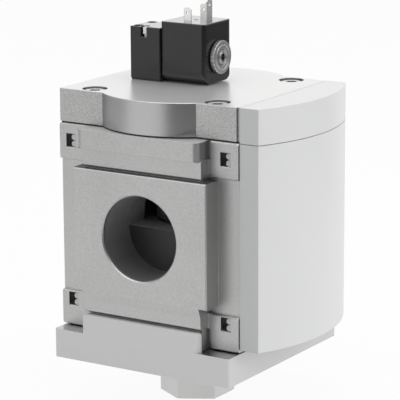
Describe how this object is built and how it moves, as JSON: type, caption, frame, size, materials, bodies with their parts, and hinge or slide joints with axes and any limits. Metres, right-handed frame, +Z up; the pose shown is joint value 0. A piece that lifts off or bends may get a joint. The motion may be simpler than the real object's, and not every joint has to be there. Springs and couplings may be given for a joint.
{
  "type": "soft start valve",
  "caption": "Pilot operated soft start valve for compressed air, with side ports, a threaded exhaust under the base and a solenoid on the cover.",
  "frame": {"origin": "centre of the mouth of the exhaust port, on the lower end of the hexagonal boss", "axes": "+Z up along the valve axis, +X in the direction of flow from the inlet to the outlet port, the plastic front cover faces -Y"},
  "size_m": [0.124, 0.1475, 0.236],
  "materials": {
    "cast_body": "matt speckled die-cast skin",
    "satin_cover": "satin machined and lightly tumbled",
    "base_coat": "smooth light grey coat",
    "front_plastic": "smooth light grey moulding, slight sheen",
    "black_rubber": "matt",
    "zinc_screw": "zinc plated",
    "tongue_steel": "bright stamped",
    "bare_aluminium": "turned",
    "stainless": "ground",
    "brass": "turned",
    "spring_steel": "drawn wire",
    "black_plastic": "fine moulded grain",
    "nut_metal": "nickel plated, turned grooves",
    "contact_metal": "tin plated",
    "white_plastic": "plain moulding"
  },
  "bodies": {
    "housing": {"main_body": "cast_body", "clamp_tongues": "tongue_steel", "base_cover": "base_coat", "base_gasket": "black_rubber", "base_screws": "zinc_screw", "top_cover": "satin_cover", "cover_gasket": "black_rubber", "cover_screws": "zinc_screw", "front_cover_lower": "front_plastic", "front_cover_upper": "front_plastic", "main_seat": "brass", "cylinder_cup": "bare_aluminium", "cup_seal": "black_rubber", "stem_seal": "black_rubber", "exhaust_seat": "brass", "return_spring": "spring_steel", "pilot_body": "black_plastic", "pilot_gasket": "black_rubber", "pilot_screws": "zinc_screw", "armature_tube": "stainless", "solenoid_coil": "black_plastic", "coil_washer": "black_rubber", "coil_nut": "nut_metal", "power_blades": "contact_metal", "earth_blade": "contact_metal"},
    "valve": {"piston": "bare_aluminium", "piston_lip_seal": "black_rubber", "valve_stem": "stainless", "main_poppet": "brass", "main_poppet_seal": "black_rubber", "exhaust_poppet": "brass", "exhaust_poppet_seal": "black_rubber", "stem_nut": "zinc_screw"},
    "armature": {"armature": "stainless", "armature_spring": "spring_steel"},
    "override": {"manual_override": "white_plastic"},
    "throttle": {"throttle_screw": "brass", "throttle_needle": "brass"}
  },
  "joints": [
    {"name": "valve_lift", "type": "slide", "parent": "housing", "child": "valve", "axis": [0, 0, 1], "range_m": [0, 0.008], "stiffness_N_per_m": 3000, "springref_m": -0.012, "deforming": ["return_spring"]},
    {"name": "armature_pull", "type": "slide", "parent": "housing", "child": "armature", "axis": [0, -1, 0], "range_m": [0, 0.0012], "stiffness_N_per_m": 400, "springref_m": -0.003},
    {"name": "override_press", "type": "slide", "parent": "housing", "child": "override", "axis": [0, 0, -1], "range_m": [0, 0.0015], "stiffness_N_per_m": 800, "springref_m": -0.001},
    {"name": "throttle_turn", "type": "hinge", "parent": "housing", "child": "throttle", "pos_m": [0.038, 0.015, 0.18], "axis": [0, 0, -1], "range_deg": [0, 720]}
  ]
}
